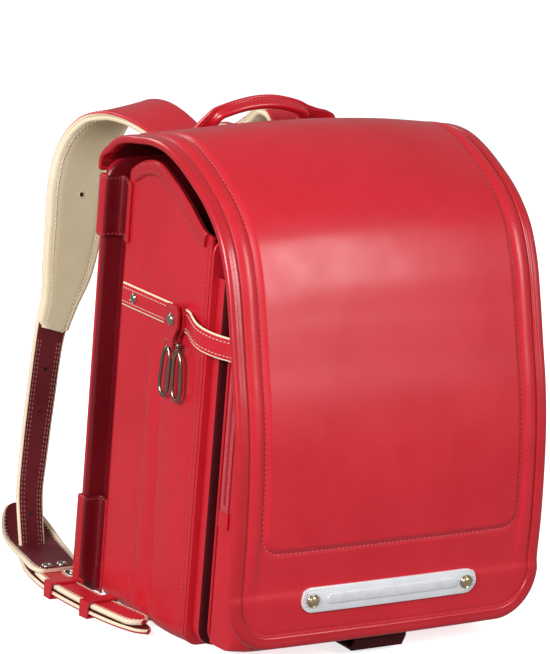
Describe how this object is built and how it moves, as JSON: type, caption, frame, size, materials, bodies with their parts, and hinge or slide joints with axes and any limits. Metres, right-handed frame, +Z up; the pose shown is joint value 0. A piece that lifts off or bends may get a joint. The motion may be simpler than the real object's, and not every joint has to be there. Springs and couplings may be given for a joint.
{
  "type": "school ransel backpack",
  "caption": "Stiff red leather school backpack with a long curved front flap, padded shoulder straps, a top handle and side snap hooks.",
  "frame": {"origin": "on the floor under the body, midway between the flap front and the back board, on the centre plane", "axes": "+X across the bag to the picture's right, +Y from the flap front to the wearer's side, +Z up"},
  "size_m": [0.3108, 0.3332, 0.3518],
  "materials": {
    "leather_red": "smooth glossy coated leather",
    "lining_cream": "matt soft padded leather",
    "lining_maroon": "matt smooth lining leather",
    "steel_plated": "polished nickel plate",
    "rivet_brass": "pale satin gold",
    "reflector_white": "smooth retroreflective film",
    "zip_cloth": "woven zip tape"
  },
  "bodies": {
    "bag": {"main_gusset": "leather_red", "front_wall": "leather_red", "back_board": "leather_red", "back_pad": "lining_cream", "middle_gusset": "leather_red", "middle_front": "leather_red", "front_pocket": "leather_red", "zip_tape": "zip_cloth", "zip_slider": "steel_plated", "flap": "leather_red", "flap_binding": "leather_red", "reflector_strip": "reflector_white", "reflector_rivet_left": "rivet_brass", "reflector_rivet_right": "rivet_brass", "handle": "leather_red", "strap_bracket": "leather_red", "lock_tongue": "leather_red", "side_collar_left": "leather_red", "sleeve_top_left": "leather_red", "sleeve_bottom_left": "leather_red", "side_band_left": "leather_red", "band_rivet_left": "steel_plated", "hook_tab_left": "leather_red", "tab_rivet_left": "steel_plated", "strap_left": "leather_red", "strap_pad_left": "lining_cream", "belt_leaf_left": "lining_maroon", "belt_eyelet_outer_left": "steel_plated", "belt_eyelet_inner_left": "steel_plated", "belt_layer_left": "leather_red", "keeper_back_left": "leather_red", "keeper_front_left": "leather_red", "anchor_tab_left": "leather_red", "anchor_ring_left": "steel_plated", "side_collar_right": "leather_red", "sleeve_top_right": "leather_red", "sleeve_bottom_right": "leather_red", "side_band_right": "leather_red", "band_rivet_right": "steel_plated", "hook_tab_right": "leather_red", "tab_rivet_right": "steel_plated", "strap_right": "leather_red", "strap_pad_right": "lining_cream", "belt_leaf_right": "lining_maroon", "belt_eyelet_outer_right": "steel_plated", "belt_eyelet_inner_right": "steel_plated", "belt_layer_right": "leather_red", "keeper_back_right": "leather_red", "keeper_front_right": "leather_red", "anchor_tab_right": "leather_red", "anchor_ring_right": "steel_plated"},
    "hook_left": {"hook_body_left": "steel_plated"},
    "lever_left": {"hook_lever_left": "steel_plated"},
    "hook_right": {"hook_body_right": "steel_plated"},
    "lever_right": {"hook_lever_right": "steel_plated"}
  },
  "joints": [
    {"name": "hook_swing_left", "type": "hinge", "parent": "bag", "child": "hook_left", "pos_m": [-0.1255, -0.00046, 0.20492], "axis": [0, 1, 0], "range_deg": [0, 80]},
    {"name": "lever_open_left", "type": "hinge", "parent": "hook_left", "child": "lever_left", "pos_m": [-0.1255, 0.00614, 0.20492], "axis": [1, 0, 0], "range_deg": [0, 25]},
    {"name": "hook_swing_right", "type": "hinge", "parent": "bag", "child": "hook_right", "pos_m": [0.1255, -0.00046, 0.20492], "axis": [0, -1, 0], "range_deg": [0, 80]},
    {"name": "lever_open_right", "type": "hinge", "parent": "hook_right", "child": "lever_right", "pos_m": [0.1255, 0.00614, 0.20492], "axis": [1, 0, 0], "range_deg": [0, 25]}
  ]
}
